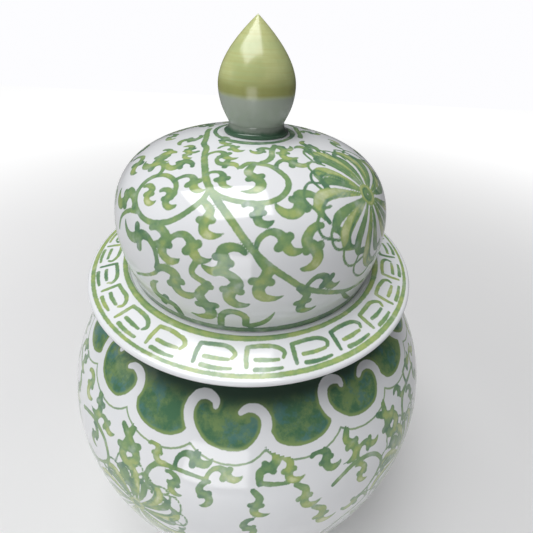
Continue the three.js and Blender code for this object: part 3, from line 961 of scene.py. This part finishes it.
def wavering_height(nodes, scale, detail):
    """Height above the floor in mm, which noise sends up and down a little."""
    where = nodes.nodes.new("ShaderNodeTexCoord")
    split = nodes.nodes.new("ShaderNodeSeparateXYZ")
    nodes.links.new(where.outputs["Object"], split.inputs[0])
    level = arithmetic(nodes, "MULTIPLY", split.outputs["Z"], 1 / MM)
    waver = arithmetic(nodes, "MULTIPLY", speckle(nodes, scale, detail), HEIGHT_WAVER)
    return arithmetic(nodes, "ADD", level, waver)


collar_glaze, nodes, shader = new_finish("dark green ring and painted shade under clear glaze")
height = wavering_height(nodes, 160, 3)
# partly a real green ring of pooled colour, partly painted shade at the join with the dome
pooled_colour_and_shade = ramp_between(nodes, height, collar_high + 4.5, collar_high + 1.5)
nodes.links.new(colour_mix(nodes, pooled_colour_and_shade, WHITE_IN_PAINTED_SHADE, (0.07, 0.15, 0.09)),
                shader.inputs["Base Color"])
gloss(nodes, shader)
collar.data.materials.append(collar_glaze)
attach(collar, LID)
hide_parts("knob_collar")

# ---- Knob ------------------------------------------------------------------------------
# A solid round knob drawn up to a soft point, set a touch off centre by hand. Its top is
# dipped in yellow-green, with an olive line where the colour pooled, and the white below
# it is painted grey-green as shade, with the green of the dome painted in as reflection.

knob_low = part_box("knob")[0].z / MM
knob_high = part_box("knob")[1].z / MM
knob_radius = (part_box("knob")[1].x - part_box("knob")[0].x) / MM / 2
KNOB_WAIST = 16.6
knob_rise = knob_high - knob_low
knob_widest = knob_low + knob_rise * 0.4075
waist_curve = bezier([(KNOB_WAIST, knob_low), (KNOB_WAIST, knob_low + 5),
                      (knob_radius, knob_widest - 13), (knob_radius, knob_widest)], 60)
tip_curve = bezier([(knob_radius, knob_widest), (knob_radius, knob_widest + 10.9),
                    (13.9, knob_high - 10.9), (0, knob_high)], 120)
knob = turned_piece("dipped_knob", [
    (0, knob_low), *outline_steps(np.vstack([waist_curve, tip_curve[1:]]), 0.8)],
    192, knob_middle)
knob_glaze, nodes, shader = new_finish("yellow-green dipped glaze")
height = wavering_height(nodes, 60, 2)
dipped = ramp_between(nodes, height, knob_low + 19.5, knob_low + 23)
band = arithmetic(nodes, "MULTIPLY",
                  ramp_between(nodes, height, knob_low + 20.5, knob_low + 23),
                  ramp_between(nodes, height, knob_low + 31, knob_low + 24.5))
where = nodes.nodes.new("ShaderNodeTexCoord")
turning = nodes.nodes.new("ShaderNodeMapping")
turning.inputs["Scale"].default_value = (30, 30, 900)
nodes.links.new(where.outputs["Object"], turning.inputs["Vector"])
turned_lines = nodes.nodes.new("ShaderNodeTexNoise")
turned_lines.inputs["Scale"].default_value = 1
turned_lines.inputs["Detail"].default_value = 3
nodes.links.new(turning.outputs["Vector"], turned_lines.inputs["Vector"])
green = colour_mix(nodes, ramp_between(nodes, speckle(nodes, 70, 3), 0.3, 0.7),
                   (0.56, 0.6, 0.28), (0.44, 0.51, 0.23))
green = colour_mix(nodes, ramp_between(nodes, turned_lines.outputs["Fac"], 0.4, 0.75, 0,
                                       0.5), green, (0.48, 0.47, 0.18))
green = colour_mix(nodes, arithmetic(nodes, "MULTIPLY", band, 0.65), green,
                   (0.32, 0.32, 0.09))
# painted shade and painted reflection: the white below the dip is greyed and greened
shade_and_reflection_white = colour_mix(nodes, speckle(nodes, 40, 3), WHITE_IN_PAINTED_SHADE, (0.46, 0.5, 0.44))
nodes.links.new(colour_mix(nodes, dipped, shade_and_reflection_white, green), shader.inputs["Base Color"])
gloss(nodes, shader)
shader.inputs["Roughness"].default_value = 0.2
knob.data.materials.append(knob_glaze)
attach(knob, LID)
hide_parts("knob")

# ---- Stage, lights and camera ----------------------------------------------------------
# A pale floor and pale surroundings that the camera sees brighter than they light the jar, a
# large soft box overhead, weak ones at the left and in front, and the camera close above.

FLOOR_HALF = 3.0
STEPS = 24
GLOW_FROM = 0.1        # the floor glows whiter to the camera from here out, in metres from the jar's axis
GLOW_TO = 2.4
GLOW = 0.9
SKY_LIGHT = 0.07
SKY_SEEN = 1.0
across = np.linspace(-FLOOR_HALF, FLOOR_HALF, STEPS + 1)
floor_x, floor_y = np.meshgrid(across, across)
floor_places = np.stack([floor_x, floor_y, np.zeros_like(floor_x)], -1).reshape(-1, 3)
corner_index = np.arange((STEPS + 1) ** 2).reshape(STEPS + 1, STEPS + 1)
floor_quads = np.stack([corner_index[:-1, :-1], corner_index[:-1, 1:],
                        corner_index[1:, 1:], corner_index[1:, :-1]], -1).reshape(-1, 4)
floor_mesh = bpy.data.meshes.new("studio_floor")
floor_mesh.from_pydata(floor_places.tolist(), [], floor_quads.tolist())
floor = bpy.data.objects.new("studio_floor", floor_mesh)
bpy.context.scene.collection.objects.link(floor)
floor_finish, nodes, shader = new_finish("pale floor")
nodes.links.new(colour_mix(nodes, speckle(nodes, 3, 2), (0.86, 0.86, 0.86),
                           (0.82, 0.82, 0.83)), shader.inputs["Base Color"])
shader.inputs["Roughness"].default_value = 0.9
where = nodes.nodes.new("ShaderNodeTexCoord")
from_middle = nodes.nodes.new("ShaderNodeVectorMath")
from_middle.operation = "LENGTH"
nodes.links.new(where.outputs["Object"], from_middle.inputs[0])
seen = nodes.nodes.new("ShaderNodeLightPath")
nodes.links.new(arithmetic(nodes, "MULTIPLY", ramp_between(
    nodes, from_middle.outputs["Value"], GLOW_FROM, GLOW_TO, 0, GLOW),
    seen.outputs["Is Camera Ray"]), shader.inputs["Emission Strength"])
shader.inputs["Emission Color"].default_value = (1, 1, 1, 1)
floor.data.materials.append(floor_finish)


def soft_light(name, place, aim, size, watts):
    """A square soft box at a place, turned towards its aim."""
    lamp = bpy.data.lights.new(name, "AREA")
    lamp.size = size
    lamp.energy = watts
    box = bpy.data.objects.new(name, lamp)
    box.location = place
    box.rotation_euler = (Vector(aim) - Vector(place)).to_track_quat("-Z", "Y").to_euler()
    bpy.context.scene.collection.objects.link(box)
    return box


soft_light("overhead_box", (-0.35, -0.1, 2.0), (0, 0, 0.4), 1.3, 33)
soft_light("left_window", (-2.0, -0.4, 1.2), (0, 0, 0.3), 1.0, 1.6)
low_reflector = soft_light("low_reflector", (-0.2, -1.0, 0.32), (0, 0, 0.3), 0.5, 2.4)
low_reflector.visible_camera = False

world = bpy.data.worlds.new("studio_world")
world.use_nodes = True
sky = world.node_tree.nodes["Background"]
sky.inputs["Color"].default_value = (0.98, 0.98, 1, 1)
seen = world.node_tree.nodes.new("ShaderNodeLightPath")
world.node_tree.links.new(ramp_between(world.node_tree, seen.outputs["Is Camera Ray"], 0, 1,
                                       SKY_LIGHT, SKY_SEEN), sky.inputs["Strength"])
bpy.context.scene.world = world
bpy.context.scene.view_settings.view_transform = "Standard"

CAMERA_PLACE = (0.0123, -0.2034, 0.4925)
CAMERA_DROP = 38.66
CAMERA_TILT = 2.75
CAMERA_LENS = 19.75
FILM_WIDTH = 36
lens = bpy.data.cameras.new("front_camera")
lens.lens = CAMERA_LENS
lens.sensor_width = FILM_WIDTH
lens.clip_start = 0.01
camera = bpy.data.objects.new("front_camera", lens)
camera.matrix_world = (Matrix.Translation(CAMERA_PLACE)
                       @ Matrix.Rotation(math.radians(90 - CAMERA_DROP), 4, "X")
                       @ Matrix.Rotation(math.radians(CAMERA_TILT), 4, "Z"))
bpy.context.scene.collection.objects.link(camera)
bpy.context.scene.camera = camera
